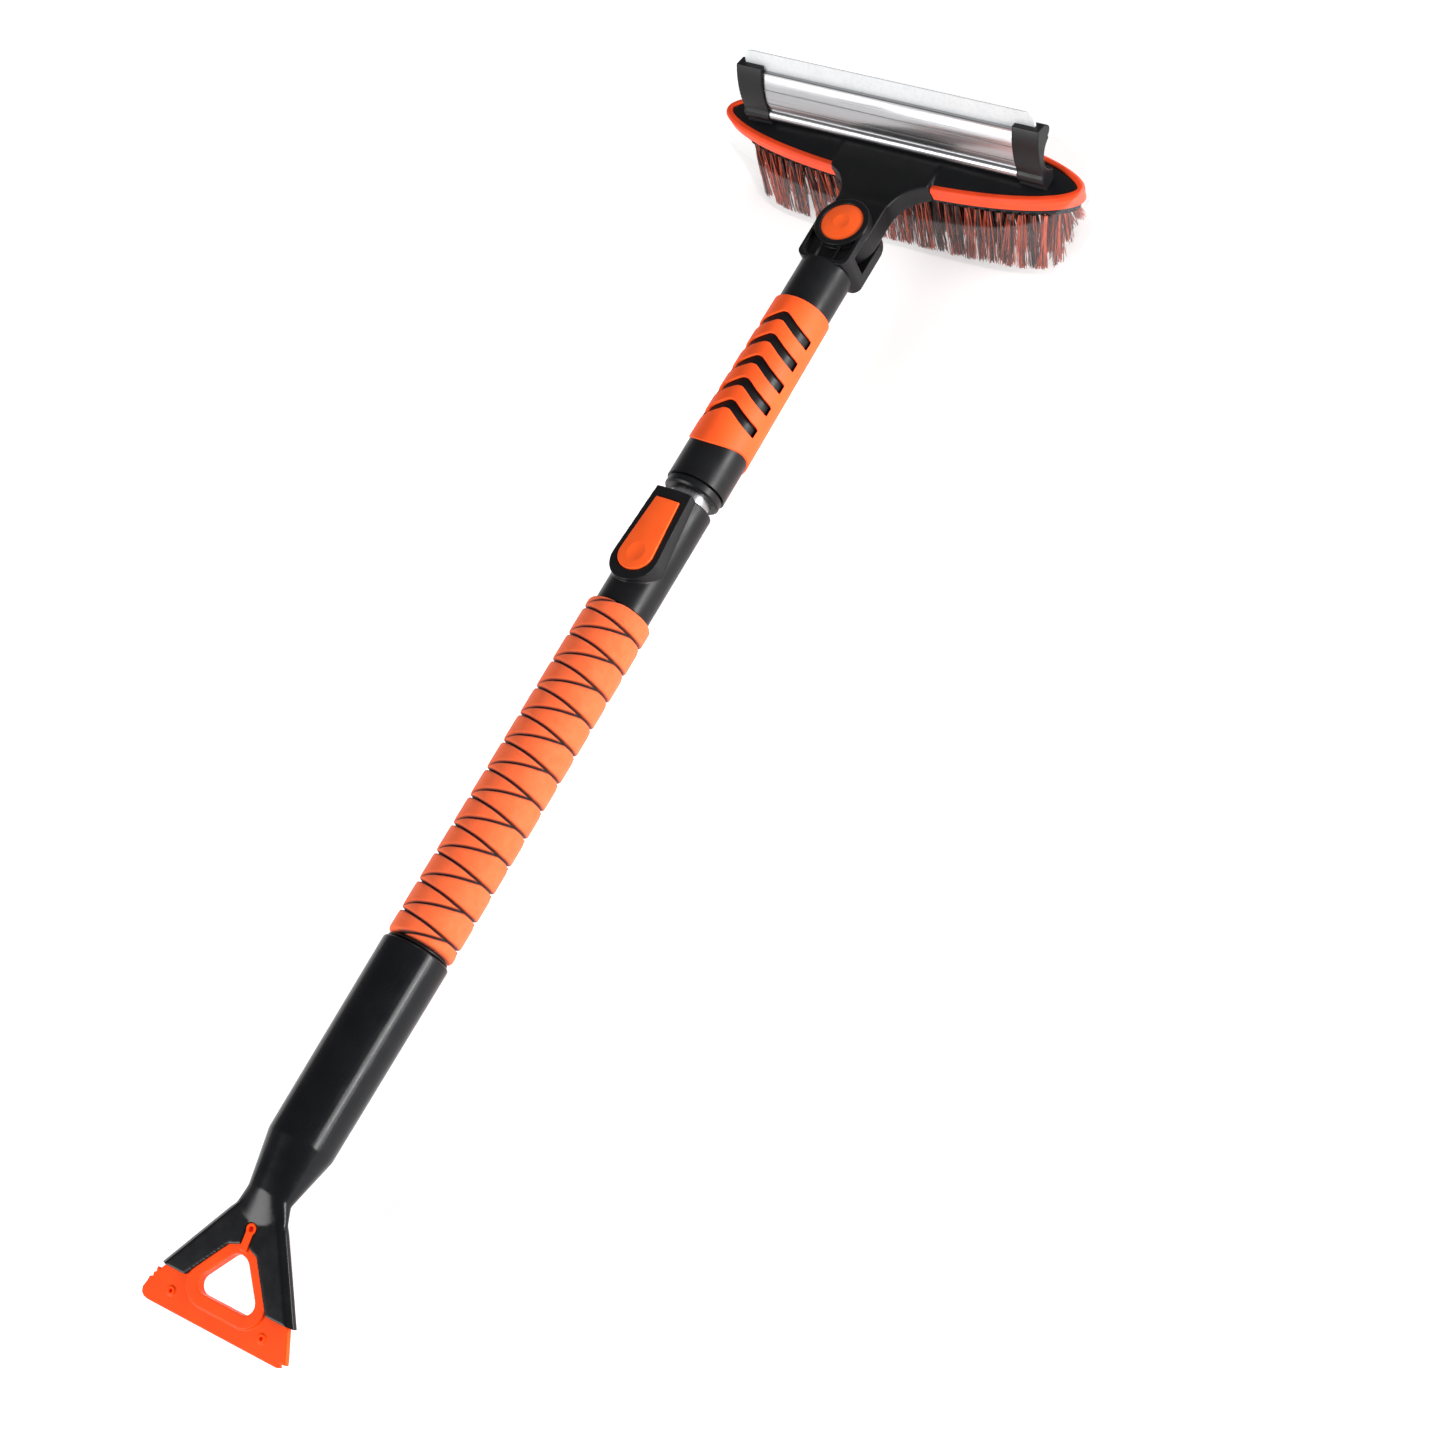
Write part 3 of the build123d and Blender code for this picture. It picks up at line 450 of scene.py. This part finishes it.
def make_foam():
    """Foam sleeve as rings of points along the tube, closed by two rings at its bore."""
    low, high = reach("foam_grip")
    bore = reach("outer_tube")[1].y + BORE_PLAY
    rows = FOAM_ROWS
    columns = FOAM_COLUMNS
    x = np.linspace(low.x, high.x, rows)[:, None] + np.zeros((1, columns))
    angle = np.linspace(0, 2 * math.pi, columns, endpoint=False)[None, :] + np.zeros((rows, 1))
    outer, shade = foam_radius(x, angle, high.y)
    inward = np.clip(1 - np.minimum(x - low.x, high.x - x) / FOAM_END_ROUND, 0, 1)
    outer = outer - FOAM_END_ROUND * (1 - np.sqrt(1 - inward ** 2))
    inner_x = np.array([[high.x], [low.x]]) + np.zeros((1, columns))
    inner = np.full((2, columns), bore)
    x = np.vstack([x, inner_x])
    angle = np.vstack([angle, angle[:2]])
    outer = np.vstack([outer, inner])
    shade = np.vstack([shade, np.zeros((2, columns))])
    # The angle turns from straight up towards -Y
    points = np.stack([x, -outer * np.sin(angle), outer * np.cos(angle)], axis=-1).reshape(-1, 3)
    points = points * MM + np.array(PIVOT)
    mesh = bpy.data.meshes.new("foam_grip_wound")
    mesh.from_pydata(points.tolist(), [], grid_faces(rows + 2, columns, True, True))
    # The groove attribute carries the painted shade of the grooves into the foam material
    groove = mesh.attributes.new("groove", "FLOAT", "POINT")
    groove.data.foreach_set("value", shade.reshape(-1).astype(np.float32))
    piece = finish_piece("foam_grip_wound", mesh, "pole", "orange_foam", ("foam_grip",), sharp=0)


# ------------------------------------------------------------------ brush head

RIM_STEPS = 420
RIM_DEPTH = 4.7
# Half the width of the gap that the bumper leaves for the neck
RIM_BREAK = 37.6


def oval_point(half_width, half_length, angle):
    """Point on the head's oval; the angle turns from +X towards +Y."""
    return Vector((half_width * math.cos(angle), half_length * math.sin(angle)))


def make_rim():
    """Soft bumper with a flat top, swept round the oval and open where the neck comes out."""
    low, high = reach("rim_guard")
    middle = (low.x + high.x) / 2
    half_width = (high.x - low.x) / 2
    half_length = high.y
    # Insets from the oval, each with its height
    corners = [
        (0.9, low.z), (0.3, -1.0), (-0.2, high.z - 1.6), (1.5, high.z + 0.2),
        (RIM_DEPTH - 0.4, high.z + 0.5), (RIM_DEPTH, high.z - 1.0), (RIM_DEPTH, low.z),
    ]
    profile = rounded(corners, 0.5, 3)
    gap = math.asin(RIM_BREAK / half_length)
    points = []
    for step in range(RIM_STEPS + 1):
        angle = -math.pi + gap + (2 * math.pi - 2 * gap) * step / RIM_STEPS
        place = oval_point(half_width, half_length, angle)
        normal = Vector((math.cos(angle) / half_width, math.sin(angle) / half_length)).normalized()
        for inset, z in profile:
            plan = place - normal * inset
            points.append(spot(middle + plan.x, plan.y, z))
    columns = len(profile)
    faces = grid_faces(RIM_STEPS + 1, columns, False, True)
    faces.append(tuple(range(columns)))
    faces.append(tuple(reversed(range(RIM_STEPS * columns, (RIM_STEPS + 1) * columns))))
    new_piece("rim_bumper", points, faces, "brush_head", "orange_rubber", ("rim_guard",), "rim_rubber")


TUFT_ROWS = (-1.0, -0.5, 0.0, 0.5, 1.0)
TUFTS_IN_ROW = 31
ROW_END = 0.965
ROOT_HALF_WIDTH = 20.0
ROOT_HALF_LENGTH = 122.0
BRISTLES_IN_TUFT = 46
BRISTLE_RADIUS = 0.38
BRISTLE_TAPER = 0.35
BRISTLE_RINGS = 4
BRISTLE_SEED = 41
ORANGE_SHARE = 0.45
# How far inside the CAD bristles' half width and half length the outermost tips stay
TIP_MARGIN_WIDTH = 1.0
TIP_MARGIN_LENGTH = 3.2
COLLAR_SIDES = 12
# Radius of a collar round a tuft, and how far below the block it reaches
COLLAR_SECTION = ((3.1, -0.4), (3.1, 0.25), (2.7, 0.55), (2.3, 0.2), (2.3, -0.4))


def tuft_places():
    """Tufts in staggered rows, as row and position along the head, each from -1 to 1."""
    places = []
    for number, row in enumerate(TUFT_ROWS):
        for index in range(TUFTS_IN_ROW):
            step = (index + 0.5 * (number % 2)) / (TUFTS_IN_ROW - 0.5)
            places.append((row, -ROW_END + 2 * ROW_END * step))
    return places


def root_plan(row, along):
    """Where a tuft enters the block, beside the head's middle."""
    return Vector((row * ROOT_HALF_WIDTH * (1 - along ** 2) ** 0.4, along * ROOT_HALF_LENGTH))


def tip_plan(row, along, half_width, half_length):
    """Where a tuft's tips end: the rows run straight and only close up at the very ends."""
    return Vector((row * half_width * (1 - along ** 4) ** 0.25, along * half_length))


def filament(root, tip, sag, points, faces):
    """One bristle: a tapering four-sided thread with a slight curve and closed ends."""
    start = len(points)
    for ring in range(BRISTLE_RINGS):
        t = ring / (BRISTLE_RINGS - 1)
        centre = root.lerp(tip, t) + sag * (4 * t * (1 - t))
        size = BRISTLE_RADIUS * MM * (1 - BRISTLE_TAPER * t)
        for corner in range(4):
            angle = math.pi / 2 * corner
            points.append(centre + Vector((math.cos(angle) * size, math.sin(angle) * size, 0)))
    faces.extend(grid_faces(BRISTLE_RINGS, 4, False, True, start))
    faces.append((start, start + 1, start + 2, start + 3))
    last = start + 4 * (BRISTLE_RINGS - 1)
    faces.append((last + 3, last + 2, last + 1, last))


def make_bristles():
    """Two colours of bristle, mixed within each tuft, with scattered tips inside the CAD bristles' box."""
    low, high = reach("bristles")
    middle = (low.x + high.x) / 2
    rng = random.Random(BRISTLE_SEED)
    threads = {name: ([], []) for name in BRISTLE_COLOURS}
    half_width = (high.x - low.x) / 2 - TIP_MARGIN_WIDTH
    half_length = high.y - TIP_MARGIN_LENGTH
    for row, along in tuft_places():
        share = ORANGE_SHARE + rng.uniform(-0.25, 0.25) + 0.1 * abs(along)
        lean = Vector((rng.gauss(0, 0.8), rng.gauss(0, 2.0)))
        for _ in range(BRISTLES_IN_TUFT):
            spread = Vector((rng.gauss(0, 0.8), rng.gauss(0, 0.9)))
            root_place = root_plan(row, along) + spread
            root = spot(middle + root_place.x, root_place.y, high.z + 1)
            plan = tip_plan(row, along, half_width - 1.5, half_length - 3.0) + lean + spread * 1.5
            plan += Vector((rng.gauss(0, 0.9), rng.gauss(0, 1.6)))
            beyond = abs(plan.x / half_width) ** 4 + abs(plan.y / half_length) ** 4
            plan /= max(1.0, beyond) ** 0.25
            tip = spot(middle + plan.x, plan.y, low.z + abs(rng.gauss(0, 1.6)) + 0.2)
            sag = Vector((rng.gauss(0, 0.6), rng.gauss(0, 0.8), 0)) * MM
            points, faces = threads["bristle_orange" if rng.random() < share else "bristle_dark"]
            filament(root, tip, sag, points, faces)
    for name, (points, faces) in threads.items():
        replaces = ("bristles",) if name == "bristle_orange" else ()
        new_piece(name + "_tufts", points, faces, "brush_head", "bristle_fibre", replaces, name, sharp=0)


def make_tuft_sockets():
    """Shallow dark collars where the tufts enter the block."""
    low, high = reach("brush_block")
    middle = (low.x + high.x) / 2
    points = []
    faces = []
    for row, along in tuft_places():
        place = root_plan(row, along)
        start = len(points)
        for radius, drop in COLLAR_SECTION:
            for side in range(COLLAR_SIDES):
                angle = 2 * math.pi * side / COLLAR_SIDES
                x = middle + place.x + radius * math.cos(angle)
                y = place.y + radius * math.sin(angle)
                points.append(spot(x, y, low.z - drop))
        faces.extend(grid_faces(len(COLLAR_SECTION), COLLAR_SIDES, True, True, start))
    new_piece("tuft_sockets", points, faces, "brush_head", "black_plastic")


# ------------------------------------------------------------------ bristle cover

# Half lengths and half widths of the tray at five heights, and how square its plan is there
COVER_HEIGHTS = (-60, -52, -24, -8, 10)
COVER_LENGTHS = (122.0, 124.5, 127.5, 138.4, 139.1)
COVER_WIDTHS = (35.4, 36.8, 37.2, 37.8, 37.8)
COVER_SQUARENESS = (4.2, 4.0, 3.4, 2.7, 2.7)
COVER_THICKNESS = 0.8
COVER_CORNER = 5.0
COVER_COLUMNS = 260
CORNER_STEPS = 6
WALL_STEPS = 18
# Height of the edge on the neck's side, at parts of the way from the head's middle to its tip
EDGE_PARTS = (0, 0.29, 0.58, 0.76, 0.88, 0.96, 1.0)
EDGE_HEIGHTS = (-17, -15, -10, -3, 4.5, 8.5, 9.5)
FAR_EDGE_HEIGHT = 10.0
# Width over which the edge rises from the neck's side to the far side
EDGE_BLEND = 12


def cover_edge(along, side):
    """Height of the cover's edge: dipped beside the neck, high over the tips and the far side."""
    near = np.interp(abs(along), EDGE_PARTS, EDGE_HEIGHTS)
    return float(near * (1 - side) + FAR_EDGE_HEIGHT * side)


def cover_point(angle, height, inset):
    """Point of the tray's wall at an angle round the head, as plan beside the head's middle."""
    square = float(np.interp(height, COVER_HEIGHTS, COVER_SQUARENESS))
    turned = Vector((math.cos(angle), math.sin(angle)))
    turned /= (abs(turned.x) ** square + abs(turned.y) ** square) ** (1 / square)
    half_width = float(np.interp(height, COVER_HEIGHTS, COVER_WIDTHS)) - inset
    half_length = float(np.interp(height, COVER_HEIGHTS, COVER_LENGTHS)) - inset
    return Vector((turned.x * half_width, turned.y * half_length))


def cover_column(angle, low_z, inset):
    """Plan and height from the floor's middle out and up to the edge, at one angle."""
    wall_low = low_z + COVER_CORNER
    floor_rim = cover_point(angle, low_z, COVER_CORNER * 0.6)
    column = [(floor_rim * part, low_z + inset) for part in (0.01, 0.4, 0.75, 0.95)]
    wall_foot = cover_point(angle, wall_low, inset)
    for step in range(CORNER_STEPS + 1):
        bend = math.pi / 2 * step / CORNER_STEPS
        plan = floor_rim.lerp(wall_foot, math.sin(bend))
        column.append((plan, low_z + inset + (COVER_CORNER - inset) * (1 - math.cos(bend))))
    side = min(1.0, max(0.0, 0.5 + math.cos(angle) * COVER_WIDTHS[1] / EDGE_BLEND))
    edge = cover_edge(math.sin(angle), side)
    for step in range(1, WALL_STEPS + 1):
        height = wall_low + (edge - wall_low) * step / WALL_STEPS
        column.append((cover_point(angle, height, inset), height))
    return column


def make_cover():
    """Thin tray over the bristles, from its outer floor up to the edge and down inside."""
    low, high = reach("bristle_cover")
    middle = (low.x + high.x) / 2
    count = COVER_COLUMNS
    rows = []
    for inset in (0.0, COVER_THICKNESS):
        columns = [cover_column(2 * math.pi * index / count, low.z, inset) for index in range(count)]
        sheet = []
        for ring in zip(*columns):
            sheet.append([spot(middle + plan.x, plan.y, height) for plan, height in ring])
        rows.extend(reversed(sheet) if inset else sheet)
    points = [point for row in rows for point in row]
    faces = grid_faces(len(rows), count, False, True)
    last = (len(rows) - 1) * count
    faces.append(tuple(range(count)))
    faces.append(tuple(range(last, last + count)))
    new_piece("bristle_cover_film", points, faces, "bristle_cover", "clear_film", ("bristle_cover",))


# ------------------------------------------------------------------ squeegee

SQUEEGEE_FOOT = Vector((71.5, 0.0, 8.2))
SQUEEGEE_LEAN = math.radians(14.0)
BEAD_CENTRE = (-2.3, 3.05)
BEAD_RADIUS = 4.4
BEAD_START = 118
BEAD_SWEEP = 300
BEAD_STEPS = 28
CHANNEL_TOP = 36.6
CHANNEL_HALF_LENGTH = 111.0
CHANNEL_END_BAND = 0.3
WIPER_HALF_LENGTH = 109.0
WIPER_FOOT = 30.2
WIPER_SHOULDER = 36.8
WIPER_TOP = 50.0
WIPER_CORNER = 6.0
WIPER_HALF_THICKNESS = 1.1
WIPER_THINNING = 0.55
WIPER_ROWS = 26
WIPER_COLUMNS = 90


def squeegee_spot(x, y, z):
    """Point in the leaning squeegee's own frame, whose foot stands on the head."""
    turned = Matrix.Rotation(SQUEEGEE_LEAN, 3, "Y") @ Vector((x, y, z))
    return spot(*(SQUEEGEE_FOOT + turned))


def bowed(start, through, end, steps):
    """Points of a smooth curve through three points, without its last one."""
    curve = []
    start, through, end = Vector(start), Vector(through), Vector(end)
    control = through * 2 - (start + end) / 2
    for step in range(steps):
        t = step / steps
        curve.append(start * (1 - t) ** 2 + control * 2 * t * (1 - t) + end * t ** 2)
    return curve


def channel_outline():
    """Aluminium extrusion: round foot bead, bowed web with two fine ribs and a lip that grips the blade."""
    top = CHANNEL_TOP
    outline = []
    for step in range(BEAD_STEPS + 1):
        angle = math.radians(BEAD_START + BEAD_SWEEP * step / BEAD_STEPS)
        outline.append((BEAD_CENTRE[0] + BEAD_RADIUS * math.cos(angle),
                        BEAD_CENTRE[1] + BEAD_RADIUS * math.sin(angle)))
    # Up the back to the lip, over it and its groove, then down the ribbed front
    outline += bowed((-0.8, 7.2), (-4.3, 18.0), (0.5, 26.4), 14)
    outline += [(0.5, 26.4), (3.4, 28.3), (3.6, 28.8), (3.6, top - 0.4), (3.2, top), (1.25, top)]
    outline += [(1.25, top - 6), (-1.25, top - 6)]
    outline += [(-1.25, top), (-3.1, top), (-3.7, top - 0.5), (-3.8, top - 1.4)]
    outline += bowed((-3.9, top - 1.8), (-5.6, 29.0), (-6.2, 25.0), 8)
    outline += [(-6.2, 25.0), (-6.6, 24.8), (-6.7, 24.2), (-6.4, 23.8)]
    outline += bowed((-6.4, 23.7), (-6.7, 19.0), (-6.3, 14.4), 8)
    outline += [(-6.3, 14.4), (-6.6, 14.1), (-6.5, 13.5), (-6.0, 13.3)]
    outline += bowed((-6.0, 13.2), (-5.4, 10.2), (-4.5, 7.2), 6)
    return outline


def make_channel():
    """The extrusion's outline at both ends and a little inside them, joined along the head."""
    outline = channel_outline()
    end = CHANNEL_HALF_LENGTH
    inside = CHANNEL_HALF_LENGTH - CHANNEL_END_BAND
    stations = (-end, -inside, inside, end)
    points = []
    for y in stations:
        for x, z in outline:
            points.append(squeegee_spot(x, y, z))
    columns = len(outline)
    faces = grid_faces(len(stations), columns, False, True)
    faces.append(tuple(range(columns)))
    faces.append(tuple(reversed(range(3 * columns, 4 * columns))))
    new_piece("squeegee_extrusion", points, faces, "brush_head", "bare_aluminium",
              ("squeegee_channel",), sharp=25)


def make_wiper():
    """Silicone blade: thicker in its groove, tapering to a thin lip with rounded corners."""
    rows = WIPER_ROWS
    columns = WIPER_COLUMNS
    points = []
    for face in (-1, 1):
        for row in range(rows):
            z = WIPER_FOOT + (WIPER_TOP - WIPER_FOOT) * row / (rows - 1)
            rise = max(0.0, (z - WIPER_SHOULDER) / (WIPER_TOP - WIPER_SHOULDER))
            thick = WIPER_HALF_THICKNESS - WIPER_THINNING * rise
            over = max(0.0, z - (WIPER_TOP - WIPER_CORNER))
            curve = math.sqrt(max(WIPER_CORNER ** 2 - over ** 2, 0.0))
            half = WIPER_HALF_LENGTH - WIPER_CORNER + curve
            for column in range(columns):
                y = half * (-1 + 2 * column / (columns - 1))
                points.append(squeegee_spot(face * thick, y, z))
    front = grid_faces(rows, columns, False, False)
    back = [tuple(reversed(face)) for face in grid_faces(rows, columns, False, False, rows * columns)]
    faces = front + back
    offset = rows * columns
    border = list(range(columns))
    border += [row * columns + columns - 1 for row in range(1, rows)]
    border += [(rows - 1) * columns + column for column in range(columns - 2, -1, -1)]
    border += [row * columns for row in range(rows - 2, 0, -1)]
    for index, corner_point in enumerate(border):
        following = border[(index + 1) % len(border)]
        faces.append((corner_point, following, following + offset, corner_point + offset))
    new_piece("squeegee_wiper", points, faces, "brush_head", "clear_silicone", ("squeegee_blade",))


# ------------------------------------------------------------------ all the pieces

# Moulded nodes, with their body, slot, voxel size in millimetres and rounds of smoothing
SOFTENED = (
    ("head_shell", "brush_head", "black_plastic", 0.8, 26),
    ("squeegee_end_cap_left", "brush_head", "black_plastic", 0.4, 5),
    ("squeegee_end_cap_right", "brush_head", "black_plastic", 0.4, 5),
    ("pivot_fork", "upper_handle", "black_plastic", 0.42, 5),
    ("chevron_grip", "upper_handle", "orange_rubber", 0.42, 4),
    ("lock_housing", "pole", "black_plastic", 0.45, 12),
    ("lock_button", "lock_lever", "orange_plastic", 0.3, 5),
    ("pivot_button", "swivel_button", "orange_plastic", 0.3, 4),
    ("scraper_handle", "scraper", "black_gloss", 0.6, 10),
    ("scraper_blade", "scraper", "orange_blade", 0.36, 4),
)


def make_pieces():
    make_foam()
    make_rim()
    make_bristles()
    make_tuft_sockets()
    make_cover()
    make_channel()
    make_wiper()
    for node, body, slot, voxel, rounds in SOFTENED:
        softened(node, body, slot, voxel, rounds)


make_pieces()
